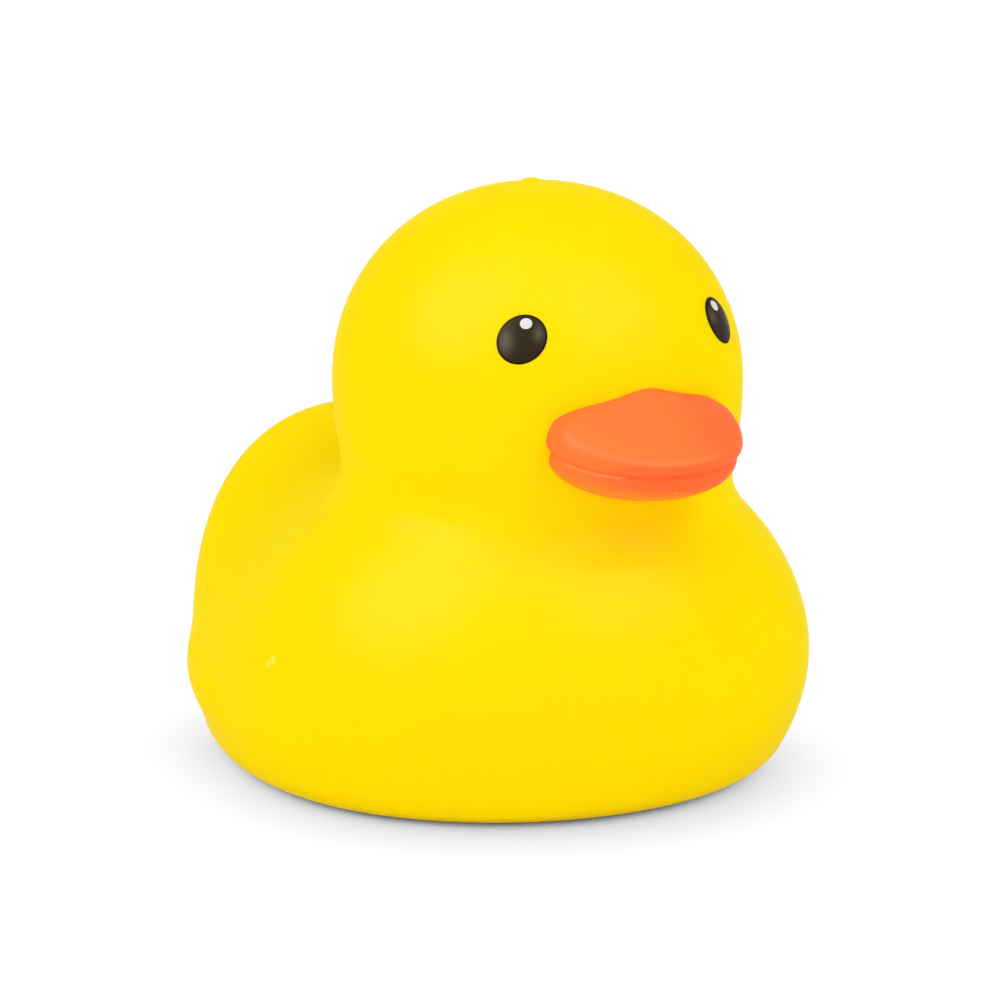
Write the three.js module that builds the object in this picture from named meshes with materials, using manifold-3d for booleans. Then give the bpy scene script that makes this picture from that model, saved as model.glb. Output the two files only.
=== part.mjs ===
// Squishy toy duck: one soft moulding that stands on a flat base.
// Millimetres, +Z up. The duck faces -Y and is alike on both sides of the plane X = 0.
// The origin lies on the base, under the widest section of the body.

import * as THREE from 'three';
import { mergeVertices } from 'three/addons/utils/BufferGeometryUtils.js';
import Module from 'manifold-3d';

// Body: an egg that lies along Y, blunt at the breast, long towards the rump and cut flat below
const BODY_HALF_WIDTH = 39.2;
const BODY_TO_BREAST = 39.3;
const BODY_TO_RUMP = 47.3;
const BODY_AXIS_HEIGHT = 13.2;
const BODY_AXIS_TO_BACK = 33.6;
const BODY_AXIS_TO_KEEL = 29.2;
const BODY_PITCH = -21.5;
const BASE_EDGE_BLEND = 4;

// Tail: a broad rounded paddle that rises out of the rump
const TAIL_HALF_WIDTH = 26.3;
const TAIL_HALF_LENGTH = 27.5;
const TAIL_HALF_THICKNESS = 12.5;
const TAIL_BACK = 35.2;
const TAIL_HEIGHT = 19.3;
const TAIL_PITCH = 53.9;
const TAIL_BLEND = 22;

// Saddle: the hollow across the back between the neck and the tail
const SADDLE_HALF_WIDTH = 36;
const SADDLE_RADIUS = 14;
const SADDLE_BACK = 27.2;
const SADDLE_FLOOR = 40.5;
const SADDLE_BLEND = 7;

// Wings: soft low ovals raised on the rear of the flanks
const WING_HALF_LENGTH = 17;
const WING_HALF_HEIGHT = 6.6;
const WING_RISE = 1.25;
const WING_BACK = 28;
const WING_HEIGHT = 10.6;
const WING_PITCH = 8.6;

// Head: a full round dome on a short neck
const HEAD_HALF_WIDTH = 26.75;
const HEAD_HALF_DEPTH = 27;
const HEAD_CENTRE_HEIGHT = 53.9;
const HEAD_CENTRE_TO_CROWN = 26.1;
const HEAD_CENTRE_TO_NECK = 33.9;
const HEAD_FORWARD = 4.4;
const HEAD_FULLNESS = 2.07;
const NECK_BLEND = 4.9;

// Nub: the cut-off vent of the mould, just behind the top of the crown
const NUB_RADIUS = 2.7;
const NUB_RISE = 0.38;
const NUB_BACK = 1.5;

// Eyes: low oval domes on the front of the head, their tops leaning to the middle
const EYE_HALF_LENGTH = 2.92;
const EYE_HALF_WIDTH = 2.65;
const EYE_RISE = 0.4;
const EYE_SINK = 0.6;
const EYE_SIDE_ANGLE = 35.6;
const EYE_UP_ANGLE = 20.3;
const EYE_LEAN = 45;

// Bill: a wide rounded scoop on the front of the head, parted by a groove all round
const BILL_HALF_WIDTH = 13.3;
const BILL_REACH = 10.6;
const BILL_ROOT = 14;
const BILL_SINK = 0.7;
const BILL_BELOW_HEAD_CENTRE = 5;
const BILL_DROOP_ANGLE = 11;
const BILL_SIDE_LIP = 3.2;
const BILL_FRONT_LIP = 1.75;
const BILL_CHIN = 5.4;
const BILL_RIM_INSET = 0.35;
const BILL_CHIN_INSET = 0.3;
const GROOVE_DEPTH = 0.6;
const LIP_SWELL = 0.3;
const LIP_SHOULDER_SHARE = 0.65;
const LIP_UNDER_SHARE = 0.2;
const CHIN_TURN_SHARE = 0.25;

// Top of the bill: a broad swelling with a soft ridge along its middle, both falling to the rim
const CHEEK_RISE = 3.7;
const CHEEK_ARCH_POWER = 1.14;
const CHEEK_BOW_POWER = 1.5;
const RIDGE_RISE = 0.9;
const RIDGE_HALF_WIDTH = 4;
const RIDGE_FALL_POWER = 1.4;

// Heart: the point inside the body that sees the whole of its skin
const HEART_BACK = 7;
const HEART_HEIGHT = 17;

// Facets: steps along each edge of a round mesh, and round and over the bill
const SKIN_STEPS = 20;
const EYE_STEPS = 4;
const BILL_STEPS_ROUND = 56;
const BILL_STEPS_OVER = 9;

const X_AXIS = new THREE.Vector3(1, 0, 0);
const Z_AXIS = new THREE.Vector3(0, 0, 1);
const HALVINGS = 44;
const LEAST_SHARE = 1e-9;

const wasm = await Module();
wasm.setup();

const radians = THREE.MathUtils.degToRad;

// A form is a function that gives a point's distance outside it, below zero inside.

// An oval with its own half size on each side of its centre, pitched tail up.
function oval({ centre, low, high = low, pitch = 0, fullness = 2 }) {
  const local = new THREE.Vector3();
  return (point) => {
    local.copy(point).sub(centre).applyAxisAngle(X_AXIS, -radians(pitch));
    let sum = 0;
    let slope = 0;
    for (const axis of ['x', 'y', 'z']) {
      const half = local[axis] < 0 ? low[axis] : high[axis];
      const share = Math.max(Math.abs(local[axis]) / half, LEAST_SHARE);
      sum += share ** fullness;
      slope += (share ** (fullness - 1) / half) ** 2;
    }
    const level = sum ** (1 / fullness);
    return (level - 1) * level ** (fullness - 1) / Math.sqrt(slope);
  };
}

// The lesser of two distances, rounded off where they are within a blend of each other.
function softLeast(a, b, blend) {
  const nearness = Math.max(1 - Math.abs(a - b) / blend, 0);
  return Math.min(a, b) - nearness * nearness * blend / 4;
}

function softGreatest(a, b, blend) {
  return -softLeast(-a, -b, blend);
}

// Two forms joined with a fillet.
function join(first, second, blend) {
  return (point) => softLeast(first(point), second(point), blend);
}

// A form with another hollowed out of it, with a rounded edge.
function hollow(form, tool, blend) {
  return (point) => softGreatest(form(point), -tool(point), blend);
}

// Distance from a heart inside the form to its skin, along a direction.
function skinDistance(form, heart, direction, reach) {
  const probe = new THREE.Vector3();
  let inside = 0;
  let outside = reach;
  for (let step = 0; step < HALVINGS; step += 1) {
    const middle = (inside + outside) / 2;
    probe.copy(direction).multiplyScalar(middle).add(heart);
    if (form(probe) < 0) inside = middle;
    else outside = middle;
  }
  return outside;
}

// A geometry with positions alone and its shared points merged, so that it is closed.
function closed(geometry) {
  geometry.deleteAttribute('normal');
  geometry.deleteAttribute('uv');
  return mergeVertices(geometry);
}

// The skin of a form: each point of a round mesh moves along its ray until the form ends.
function wrap(form, heart, reach, steps) {
  const skin = closed(new THREE.IcosahedronGeometry(1, steps));
  const places = skin.getAttribute('position');
  const direction = new THREE.Vector3();
  for (let index = 0; index < places.count; index += 1) {
    direction.fromBufferAttribute(places, index).normalize();
    const distance = skinDistance(form, heart, direction, reach);
    direction.multiplyScalar(distance).add(heart);
    places.setXYZ(index, direction.x, direction.y, direction.z);
  }
  return skin;
}

function toSolid(geometry) {
  return new wasm.Manifold(new wasm.Mesh({
    numProp: 3,
    vertProperties: new Float32Array(geometry.getAttribute('position').array),
    triVerts: new Uint32Array(geometry.getIndex().array),
  }));
}

function toGeometry(solid) {
  const mesh = solid.getMesh();
  const geometry = new THREE.BufferGeometry();
  geometry.setAttribute('position', new THREE.BufferAttribute(mesh.vertProperties, 3));
  geometry.setIndex(new THREE.BufferAttribute(mesh.triVerts, 1));
  geometry.computeVertexNormals();
  return geometry;
}

const headCentre = new THREE.Vector3(0, -HEAD_FORWARD, HEAD_CENTRE_HEIGHT);
const headForm = oval({
  centre: headCentre,
  low: new THREE.Vector3(HEAD_HALF_WIDTH, HEAD_HALF_DEPTH, HEAD_CENTRE_TO_NECK),
  high: new THREE.Vector3(HEAD_HALF_WIDTH, HEAD_HALF_DEPTH, HEAD_CENTRE_TO_CROWN),
  fullness: HEAD_FULLNESS,
});

// A form raised by the wings: an oval in side view that swells softly to its middle.
function winged(form) {
  const local = new THREE.Vector3();
  return (point) => {
    local.set(0, point.y - WING_BACK, point.z - WING_HEIGHT);
    local.applyAxisAngle(X_AXIS, -radians(WING_PITCH));
    const away = Math.hypot(local.y / WING_HALF_LENGTH, local.z / WING_HALF_HEIGHT);
    const swell = Math.max(1 - away * away, 0);
    return form(point) - WING_RISE * swell * swell;
  };
}

// Body, tail, wings and head run into one another, hollowed at the saddle and cut flat at the base.
function skinForm() {
  const body = oval({
    centre: new THREE.Vector3(0, 0, BODY_AXIS_HEIGHT),
    low: new THREE.Vector3(BODY_HALF_WIDTH, BODY_TO_BREAST, BODY_AXIS_TO_KEEL),
    high: new THREE.Vector3(BODY_HALF_WIDTH, BODY_TO_RUMP, BODY_AXIS_TO_BACK),
    pitch: BODY_PITCH,
  });
  const tail = oval({
    centre: new THREE.Vector3(0, TAIL_BACK, TAIL_HEIGHT),
    low: new THREE.Vector3(TAIL_HALF_WIDTH, TAIL_HALF_LENGTH, TAIL_HALF_THICKNESS),
    pitch: TAIL_PITCH,
  });
  const saddle = oval({
    centre: new THREE.Vector3(0, SADDLE_BACK, SADDLE_FLOOR + SADDLE_RADIUS),
    low: new THREE.Vector3(SADDLE_HALF_WIDTH, SADDLE_RADIUS, SADDLE_RADIUS),
  });
  const trunk = hollow(join(body, tail, TAIL_BLEND), saddle, SADDLE_BLEND);
  const whole = join(winged(trunk), headForm, NECK_BLEND);
  return (point) => softGreatest(whole(point), -point.z, BASE_EDGE_BLEND);
}

// Outline of the bill's edge from rim to chin: shares of its reach against heights off the groove.
function billEdge() {
  const rim = 1 - BILL_RIM_INSET / BILL_REACH;
  const groove = 1 - GROOVE_DEPTH / BILL_REACH;
  const lower = 1 - BILL_CHIN_INSET / BILL_REACH;
  const swollen = 1 + LIP_SWELL / BILL_REACH;
  const upperLip = new THREE.CubicBezierCurve(
    new THREE.Vector2(rim, 1),
    new THREE.Vector2(1, LIP_SHOULDER_SHARE),
    new THREE.Vector2(swollen, LIP_UNDER_SHARE),
    new THREE.Vector2(groove, 0),
  );
  const lowerLip = new THREE.CubicBezierCurve(
    new THREE.Vector2(groove, 0),
    new THREE.Vector2(lower + lower - groove, -CHIN_TURN_SHARE),
    new THREE.Vector2(lower, -1),
    new THREE.Vector2(0, -1),
  );
  return { upperLip, lowerLip, rim };
}

// Height of the bill's top over its rim, at shares of the way across and ahead to the rim.
function billSwell(across, ahead) {
  const widest = Math.sqrt(Math.max(1 - Math.min(ahead, 0) ** 2, LEAST_SHARE));
  const chord = Math.sqrt(Math.max(1 - (across / widest) ** 2, 0));
  const along = THREE.MathUtils.clamp(ahead / Math.max(chord, LEAST_SHARE), 0, 1);
  const cheek = CHEEK_RISE * chord ** CHEEK_ARCH_POWER * (1 - along ** CHEEK_BOW_POWER);
  const offRidge = across * BILL_HALF_WIDTH / RIDGE_HALF_WIDTH;
  const ridge = RIDGE_RISE * Math.exp(-offRidge * offRidge) * chord * (1 - along) ** RIDGE_FALL_POWER;
  return cheek + ridge;
}

// The bill in its own frame: a lathe of unit radius about Z, then drawn out to the bill's outline.
function billShell() {
  const { upperLip, lowerLip, rim } = billEdge();
  const over = Array.from({ length: BILL_STEPS_OVER }, (_, step) => (
    new THREE.Vector2(rim * step / BILL_STEPS_OVER, 1)));
  const lips = upperLip.getPoints(BILL_STEPS_OVER);
  const chin = lowerLip.getPoints(BILL_STEPS_OVER).slice(1);
  const profile = [...over, ...lips, ...chin].reverse();
  const shell = closed(new THREE.LatheGeometry(profile, BILL_STEPS_ROUND));
  shell.rotateX(Math.PI / 2);
  const places = shell.getAttribute('position');
  for (let index = 0; index < places.count; index += 1) {
    const across = places.getX(index);
    const ahead = -places.getY(index);
    const level = places.getZ(index);
    const lip = THREE.MathUtils.lerp(BILL_SIDE_LIP, BILL_FRONT_LIP, Math.max(ahead, 0));
    const top = level === 1 ? billSwell(across / rim, ahead / rim) : 0;
    const height = level < 0 ? level * BILL_CHIN : level * lip + top;
    const reach = ahead > 0 ? BILL_REACH : BILL_ROOT;
    places.setXYZ(index, across * BILL_HALF_WIDTH, -ahead * reach, height);
  }
  return shell;
}

function bill() {
  const drop = 1 - (BILL_BELOW_HEAD_CENTRE / HEAD_CENTRE_TO_NECK) ** HEAD_FULLNESS;
  const headFront = HEAD_HALF_DEPTH * drop ** (1 / HEAD_FULLNESS);
  const shell = billShell();
  shell.rotateX(radians(BILL_DROOP_ANGLE));
  const ahead = HEAD_FORWARD + headFront - BILL_SINK;
  shell.translate(0, -ahead, HEAD_CENTRE_HEIGHT - BILL_BELOW_HEAD_CENTRE);
  return toSolid(shell);
}

// An eye dome, its rim on the head and its middle proud of it.
function eye(side) {
  const sideAngle = radians(EYE_SIDE_ANGLE);
  const upAngle = radians(EYE_UP_ANGLE);
  const outward = new THREE.Vector3(
    side * Math.sin(sideAngle) * Math.cos(upAngle),
    -Math.cos(sideAngle) * Math.cos(upAngle),
    Math.sin(upAngle),
  );
  const reach = HEAD_HALF_WIDTH + HEAD_HALF_DEPTH + HEAD_CENTRE_TO_CROWN;
  const distance = skinDistance(headForm, headCentre, outward, reach);
  const spread = 1 / Math.sqrt(1 - (EYE_SINK / (EYE_RISE + EYE_SINK)) ** 2);
  const dome = closed(new THREE.IcosahedronGeometry(1, EYE_STEPS));
  dome.scale(EYE_HALF_WIDTH * spread, EYE_HALF_LENGTH * spread, EYE_RISE + EYE_SINK);
  dome.rotateZ(radians(side * EYE_LEAN));
  const facing = new THREE.Object3D();
  facing.up.copy(Z_AXIS);
  facing.lookAt(outward);
  dome.applyQuaternion(facing.quaternion);
  outward.multiplyScalar(distance - EYE_SINK).add(headCentre);
  dome.translate(outward.x, outward.y, outward.z);
  return toSolid(dome);
}

function nub() {
  const dome = closed(new THREE.IcosahedronGeometry(NUB_RADIUS, EYE_STEPS));
  const top = HEAD_CENTRE_HEIGHT + HEAD_CENTRE_TO_CROWN;
  dome.translate(0, NUB_BACK - HEAD_FORWARD, top + NUB_RISE - NUB_RADIUS);
  return toSolid(dome);
}

function duck() {
  const heart = new THREE.Vector3(0, HEART_BACK, HEART_HEIGHT);
  const reach = BODY_TO_RUMP + HEAD_CENTRE_HEIGHT + HEAD_CENTRE_TO_CROWN;
  let solid = toSolid(wrap(skinForm(), heart, reach, SKIN_STEPS));
  for (const feature of [bill(), eye(1), eye(-1), nub()]) solid = solid.add(feature);
  const rubber = new THREE.MeshStandardMaterial({ color: 0xffe40b, roughness: 0.5, metalness: 0 });
  const moulding = new THREE.Mesh(toGeometry(solid), rubber);
  moulding.name = 'duck';
  return moulding;
}

const toy = new THREE.Group();
toy.add(duck());

export default toy;
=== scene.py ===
"""A squishy toy duck: soft yellow skin, painted bill and eyes, on a white studio floor.

Shapes are worked out in millimetres in the frame of the solid: +Z up, the duck facing -Y.
"""

import logging
from dataclasses import dataclass
from enum import IntEnum

import bpy
import numpy as np
from mathutils import Matrix, Vector


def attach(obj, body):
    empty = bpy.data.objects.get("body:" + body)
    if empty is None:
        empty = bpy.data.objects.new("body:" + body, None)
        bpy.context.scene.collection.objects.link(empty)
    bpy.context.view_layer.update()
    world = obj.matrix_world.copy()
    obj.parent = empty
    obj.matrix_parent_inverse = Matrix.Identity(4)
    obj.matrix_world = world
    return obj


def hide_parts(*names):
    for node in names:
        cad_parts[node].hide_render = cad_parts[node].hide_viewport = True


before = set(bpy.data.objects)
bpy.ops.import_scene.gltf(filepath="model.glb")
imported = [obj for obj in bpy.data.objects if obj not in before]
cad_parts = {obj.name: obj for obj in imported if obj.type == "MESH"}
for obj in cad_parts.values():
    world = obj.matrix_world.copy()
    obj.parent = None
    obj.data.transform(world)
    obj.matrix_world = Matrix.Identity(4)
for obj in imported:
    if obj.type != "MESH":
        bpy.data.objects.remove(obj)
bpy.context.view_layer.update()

LOG = logging.getLogger("toy_duck")
METRE_PER_MM = 0.001
LEAST = 1e-9

# The curve from a colour as it is written to linear light.
COLOUR_TOP = 255.0
COLOUR_KNEE = 0.04045
COLOUR_FOOT = 12.92
COLOUR_LIFT = 0.055
COLOUR_POWER = 2.4
WHITE = (1.0, 1.0, 1.0, 1.0)

# The noise in patches, grain and pale specks. A speck's reaches are shares of its radius.
PATCH_DETAIL = 3.0
GRAIN_DETAIL = 2.0
SPECK_RAGGEDNESS = 1400.0
SPECK_LEAST_REACH = 0.2
SPECK_REACH_SPREAD = 1.6
SPECK_OUTER = 1.15
SPECK_INNER = 0.7

Triple = tuple[float, float, float]
Colour = tuple[float, float, float, float]


class Side(IntEnum):
    """Which side of the duck a piece is on, as the sign of its X."""

    RIGHT = -1
    LEFT = 1


class Axis(IntEnum):
    """A coordinate axis, as its place in a point."""

    X = 0
    Y = 1
    Z = 2


class MixSocket(IntEnum):
    """Places of the sockets of a Mix node for colours; the last is an output."""

    FACTOR = 0
    FIRST = 6
    SECOND = 7
    RESULT = 2


def linear(red: float, green: float, blue: float) -> Colour:
    """Turns a colour written from 0 to 255 into the linear values that a shader takes.

    Args:
        red: red from 0 to 255.
        green: green from 0 to 255.
        blue: blue from 0 to 255.

    Returns:
        Linear red, green, blue and an alpha of 1.
    """
    share = np.array([red, green, blue]) / COLOUR_TOP
    curve = ((share + COLOUR_LIFT) / (1.0 + COLOUR_LIFT)) ** COLOUR_POWER
    value = np.where(share <= COLOUR_KNEE, share / COLOUR_FOOT, curve)
    return (*value.tolist(), 1.0)


def full_turn(count: int) -> np.ndarray:
    """Angles of one full turn in even steps from 0, in radians."""
    return np.linspace(0.0, 2.0 * np.pi, count, endpoint=False)


def turned(points: np.ndarray, degrees: float, axis: Axis) -> np.ndarray:
    """Turns points about a coordinate axis by the right-hand rule.

    Formula: with u and v the two other coordinates, u' = u * cos - v * sin and
    v' = u * sin + v * cos.

    Args:
        points: array whose last axis holds X, Y and Z.
        degrees: angle of the turn.
        axis: the axis that the points turn about.

    Returns:
        The turned points, in an array of the same shape.
    """
    angle = np.radians(degrees)
    first, second = (axis + 1) % len(Axis), (axis + 2) % len(Axis)
    result = points.copy()
    result[..., first] = np.cos(angle) * points[..., first] - np.sin(angle) * points[..., second]
    result[..., second] = np.sin(angle) * points[..., first] + np.cos(angle) * points[..., second]
    return result


def soft_least(a: np.ndarray, b: np.ndarray, blend: float) -> np.ndarray:
    """The lesser of two distances, rounded off where they are nearly equal.

    Formula: min(a, b) - t * t * blend / 4, where t = max(1 - |a - b| / blend, 0).

    Args:
        a: distances outside one form.
        b: distances outside another form.
        blend: difference over which the two run together, in mm.

    Returns:
        Distances outside the joined form.
    """
    nearness = np.maximum(1.0 - np.abs(a - b) / blend, 0.0)
    return np.minimum(a, b) - nearness * nearness * blend / 4.0


def soft_greatest(a: np.ndarray, b: np.ndarray, blend: float) -> np.ndarray:
    """The greater of two distances, rounded off as soft_least does.

    Args:
        a: distances outside one form.
        b: distances outside another form.
        blend: difference over which the two run together, in mm.

    Returns:
        Distances outside the form that both share.
    """
    return -soft_least(-a, -b, blend)


def cubic(t: np.ndarray, start: float, first: float, second: float, end: float) -> np.ndarray:
    """A cubic curve from one value to another, drawn towards two more on its way.

    Formula: (1 - t) ^ 3 * start + 3 * t * (1 - t) ^ 2 * first + 3 * t ^ 2 * (1 - t) * second
    + t ^ 3 * end.

    Args:
        t: shares of the way, from 0 to 1.
        start: value where the curve starts.
        first: value that draws the curve early on.
        second: value that draws the curve later on.
        end: value where the curve ends.

    Returns:
        One value for each share.
    """
    rest = 1.0 - t
    early, late = 3.0 * t * rest ** 2, 3.0 * t ** 2 * rest
    return rest ** 3 * start + early * first + late * second + t ** 3 * end


@dataclass(frozen=True)
class Fade:
    """A soft step from 0 at its start to 1 at its end, which may lie below the start."""

    start: float
    end: float

    def at(self, values: np.ndarray) -> np.ndarray:
        """Places numbers on the step.

        Formula: t * t * (3 - 2 * t), where t runs from 0 at the start to 1 at the end.

        Args:
            values: the numbers to place.

        Returns:
            Numbers from 0 to 1, in an array of the same shape.
        """
        share = np.clip((values - self.start) / (self.end - self.start), 0.0, 1.0)
        return share * share * (3.0 - 2.0 * share)


def closed_grid(
    name: str, rings: np.ndarray, masks: dict[str, np.ndarray] | None = None
) -> bpy.types.Object:
    """Makes a closed smooth mesh of rings that run from one pole to the other.

    The first and last ring are single points. Seen from outside with the first pole on top,
    the rings run downwards and the points of a ring run anticlockwise as seen from the top.

    Args:
        name: name of the object and its mesh.
        rings: array of ring, point in the ring and coordinate, in mm.
        masks: arrays of ring and point in the ring, kept on the mesh as named attributes.

    Returns:
        The object, linked to the scene, with its place in its mesh.
    """
    middle = rings[1:-1]
    count, around = middle.shape[:2]
    vertices = np.concatenate([rings[:1, 0], middle.reshape(-1, 3), rings[-1:, 0]])
    here = 1 + np.arange(count * around).reshape(count, around)
    beside = np.roll(here, -1, axis=1)
    top = np.zeros(around, dtype=int)
    bottom = np.full(around, len(vertices) - 1)
    cap = np.stack([top, here[0], beside[0]], axis=-1)
    quads = np.stack([here[:-1], here[1:], beside[1:], beside[:-1]], axis=-1).reshape(-1, 4)
    foot = np.stack([bottom, beside[-1], here[-1]], axis=-1)
    faces = [cap, quads, foot]
    corners = np.concatenate([np.full(len(part), part.shape[1]) for part in faces])
    loops = np.concatenate([part.ravel() for part in faces])
    mesh = bpy.data.meshes.new(name)
    mesh.vertices.add(len(vertices))
    mesh.vertices.foreach_set("co", (vertices * METRE_PER_MM).ravel())
    mesh.loops.add(len(loops))
    mesh.loops.foreach_set("vertex_index", loops)
    mesh.polygons.add(len(corners))
    mesh.polygons.foreach_set("loop_start", np.cumsum(corners) - corners)
    mesh.polygons.foreach_set("use_smooth", np.ones(len(corners), dtype=bool))
    mesh.update(calc_edges=True)
    mesh.validate()
    for title, mask in (masks or {}).items():
        values = np.concatenate([mask[:1, 0], mask[1:-1].ravel(), mask[-1:, 0]])
        mesh.attributes.new(title, "FLOAT", "POINT").data.foreach_set("value", values)
    piece = bpy.data.objects.new(name, mesh)
    bpy.context.scene.collection.objects.link(piece)
    return piece


def report(piece: bpy.types.Object) -> None:
    """Logs a finished piece's name and count of faces."""
    LOG.info("%s: %d faces", piece.name, len(piece.data.polygons))


class Wiring:
    """Adds and links nodes in one node tree."""

    def __init__(self, tree: bpy.types.NodeTree) -> None:
        """Keeps the tree that the nodes go into."""
        self.tree = tree

    def add(self, kind: str, **settings: object) -> bpy.types.Node:
        """Adds a node.

        Args:
            kind: the node's type name.
            **settings: properties of the node, by name.

        Returns:
            The new node.
        """
        node = self.tree.nodes.new(kind)
        for key, value in settings.items():
            setattr(node, key, value)
        return node

    def link(self, source: bpy.types.NodeSocket, target: bpy.types.NodeSocket) -> None:
        """Links an output socket to an input socket."""
        self.tree.links.new(source, target)

    def feed(self, value: object, target: bpy.types.NodeSocket) -> None:
        """Links a value to an input socket, or sets it there.

        Args:
            value: an output socket, a number or a colour.
            target: the input socket.
        """
        if isinstance(value, bpy.types.NodeSocket):
            self.link(value, target)
        else:
            target.default_value = value

    def math(self, operation: str, *values: object) -> bpy.types.NodeSocket:
        """Adds a Math node.

        Args:
            operation: name of the operation.
            *values: sockets or numbers, in the order of the node's inputs.

        Returns:
            The node's value output.
        """
        node = self.add("ShaderNodeMath", operation=operation)
        for value, target in zip(values, node.inputs):
            self.feed(value, target)
        return node.outputs["Value"]

    def mix(
        self, mask: bpy.types.NodeSocket, first: object, second: object
    ) -> bpy.types.NodeSocket:
        """Adds a Mix node for colours.

        Args:
            mask: share of the second colour.
            first: a socket or a colour, which shows where the mask is 0.
            second: a socket or a colour, which shows where the mask is 1.

        Returns:
            The node's colour output.
        """
        node = self.add("ShaderNodeMix", data_type="RGBA")
        self.feed(mask, node.inputs[MixSocket.FACTOR])
        self.feed(first, node.inputs[MixSocket.FIRST])
        self.feed(second, node.inputs[MixSocket.SECOND])
        return node.outputs[MixSocket.RESULT]


def new_group(name: str, inputs: dict[str, str], outputs: dict[str, str]) -> Wiring:
    """Makes an empty shader node group with named sockets.

    Args:
        name: name of the group.
        inputs: socket types by name.
        outputs: socket types by name.

    Returns:
        Wiring in the new group's tree.
    """
    tree = bpy.data.node_groups.new(name, "ShaderNodeTree")
    for title, kind in inputs.items():
        tree.interface.new_socket(name=title, in_out="INPUT", socket_type=kind)
    for title, kind in outputs.items():
        tree.interface.new_socket(name=title, in_out="OUTPUT", socket_type=kind)
    return Wiring(tree)


def uneven_group() -> bpy.types.NodeTree:
    """Builds the soft unevenness of moulded and painted skin, as a mask and a height.

    Returns:
        A group with a patch mask from 0 to 1 and a fine height from 0 to 1.
    """
    wiring = new_group(
        "uneven_skin",
        {"Patch Scale": "NodeSocketFloat", "Grain Scale": "NodeSocketFloat"},
        {"Patch": "NodeSocketFloat", "Grain": "NodeSocketFloat"},
    )
    source = wiring.add("NodeGroupInput")
    target = wiring.add("NodeGroupOutput")
    place = wiring.add("ShaderNodeTexCoord")
    for title, detail in (("Patch", PATCH_DETAIL), ("Grain", GRAIN_DETAIL)):
        noise = wiring.add("ShaderNodeTexNoise")
        noise.inputs["Detail"].default_value = detail
        wiring.link(place.outputs["Object"], noise.inputs["Vector"])
        wiring.link(source.outputs[f"{title} Scale"], noise.inputs["Scale"])
        wiring.link(noise.outputs["Fac"], target.inputs[title])
    return wiring.tree


def speck_group() -> bpy.types.NodeTree:
    """Builds a small ragged pale speck about a point, as a mask.

    Formula: a soft step over the distance from the point as a share of the radius, which a fine
    noise draws in and out.

    Returns:
        A group with a mask that is 1 inside the speck and 0 outside it.
    """
    wiring = new_group(
        "pale_speck",
        {"Centre": "NodeSocketVector", "Radius": "NodeSocketFloat"},
        {"Mask": "NodeSocketFloat"},
    )
    source = wiring.add("NodeGroupInput")
    target = wiring.add("NodeGroupOutput")
    place = wiring.add("ShaderNodeTexCoord")
    away = wiring.add("ShaderNodeVectorMath", operation="DISTANCE")
    wiring.link(place.outputs["Object"], away.inputs[0])
    wiring.link(source.outputs["Centre"], away.inputs[1])
    ragged = wiring.add("ShaderNodeTexNoise")
    ragged.inputs["Scale"].default_value = SPECK_RAGGEDNESS
    wiring.link(place.outputs["Object"], ragged.inputs["Vector"])
    swing = wiring.math(
        "MULTIPLY_ADD", ragged.outputs["Fac"], SPECK_REACH_SPREAD, SPECK_LEAST_REACH)
    reach = wiring.math("MULTIPLY", source.outputs["Radius"], swing)
    share = wiring.math("DIVIDE", away.outputs["Value"], reach)
    fade = wiring.add("ShaderNodeMapRange", interpolation_type="SMOOTHSTEP")
    fade.inputs["From Min"].default_value = SPECK_OUTER
    fade.inputs["From Max"].default_value = SPECK_INNER
    wiring.link(share, fade.inputs["Value"])
    wiring.link(fade.outputs["Result"], target.inputs["Mask"])
    return wiring.tree


@dataclass(frozen=True)
class PaleSpeck:
    """A small pale speck in a finish: its place and radius in mm."""

    place: Triple
    radius: float


@dataclass(frozen=True)
class Zone:
    """A part of a piece with a colour of its own, masked by an attribute of its mesh."""

    mask: str
    colour: Triple


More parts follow.
